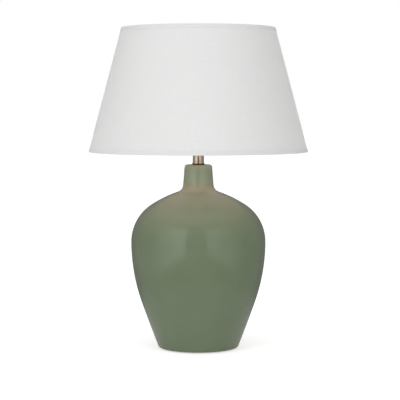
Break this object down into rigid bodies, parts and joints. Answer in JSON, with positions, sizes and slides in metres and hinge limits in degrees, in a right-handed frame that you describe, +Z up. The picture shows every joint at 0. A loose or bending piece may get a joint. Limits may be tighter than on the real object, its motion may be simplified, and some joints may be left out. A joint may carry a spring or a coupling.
{
  "type": "table lamp",
  "caption": "Table lamp with a hollow glazed ceramic ginger-jar base, short brass neck, screw lampholder with bulb, and a tapered white fabric shade.",
  "frame": {"origin": "middle of the felt foot's underside", "axes": "+Z up along the centre tube, -Y towards the viewer, +Y towards the cord inlet"},
  "size_m": [0.3999, 0.4, 0.584],
  "materials": {
    "felt": "wool felt",
    "glaze": "glossy sage green glaze",
    "black_rubber": "matt",
    "zinc_steel": "zinc plated",
    "brass": "polished and lacquered",
    "contact_brass": "plain sheet brass",
    "holder_plastic": "moulded, white",
    "core_ceramic": "unglazed",
    "shade_cloth": "fine plain weave, white",
    "shade_lining": "white lining sheet",
    "shade_tape": "folded edge, white",
    "white_wire": "white coated steel",
    "bulb_cap_metal": "rolled sheet",
    "black_glass": "black insulator",
    "bulb_plastic": "moulded, white",
    "opal_plastic": "opal diffuser",
    "board_metal": "white lacquered board",
    "circuit_board": "green circuit board"
  },
  "bodies": {
    "lamp_base": {"base_felt": "felt", "jar_body": "glaze", "cord_grommet": "black_rubber", "centre_tube": "zinc_steel", "base_cushion_washer": "black_rubber", "base_steel_washer": "zinc_steel", "base_spring_washer": "zinc_steel", "base_hex_nut": "zinc_steel", "neck_gasket": "black_rubber", "neck_spacer": "brass", "neck_top_washer": "brass", "holder_cap": "holder_plastic", "holder_grub_screw": "zinc_steel", "holder_core": "core_ceramic", "holder_terminals": "contact_brass", "holder_terminal_screws": "zinc_steel", "holder_shell_rivets": "contact_brass", "holder_screw_shell": "contact_brass", "holder_centre_contact": "contact_brass", "holder_skirt": "holder_plastic"},
    "shade": {"shade_fabric": "shade_cloth", "shade_liner": "shade_lining", "shade_bottom_wire": "white_wire", "shade_top_wire": "white_wire", "shade_bottom_hem": "shade_tape", "shade_top_hem": "shade_tape", "shade_seam_strip": "shade_cloth", "fitter_ring": "white_wire", "fitter_arms": "white_wire"},
    "shade_ring": {"shade_clamp_ring": "holder_plastic"},
    "bulb_seat": {"bulb_centre_contact": "contact_brass", "bulb_insulator": "black_glass"},
    "bulb": {"bulb_screw_cap": "bulb_cap_metal", "bulb_housing": "bulb_plastic", "bulb_dome": "opal_plastic", "bulb_led_board": "board_metal", "bulb_driver_board": "circuit_board"}
  },
  "joints": [
    {"name": "shade_swivel", "type": "hinge", "parent": "lamp_base", "child": "shade", "pos_m": [0, 0, 0.3868], "axis": [0, 0, 1], "continuous": true},
    {"name": "shade_ring_lift", "type": "slide", "parent": "lamp_base", "child": "shade_ring", "axis": [0, 0, 1], "range_m": [0, 0.01]},
    {"name": "bulb_rise", "type": "slide", "parent": "lamp_base", "child": "bulb_seat", "axis": [0, 0, 1], "range_m": [0, 0.02187]},
    {"name": "bulb_turn", "type": "hinge", "parent": "bulb_seat", "child": "bulb", "pos_m": [0, 0, 0.42], "axis": [0, 0, 1], "range_deg": [0, 2160]}
  ],
  "couplings": [
    {"joint": "bulb_rise", "follows": "bulb_turn", "m_per_rad": 0.00057757}
  ]
}
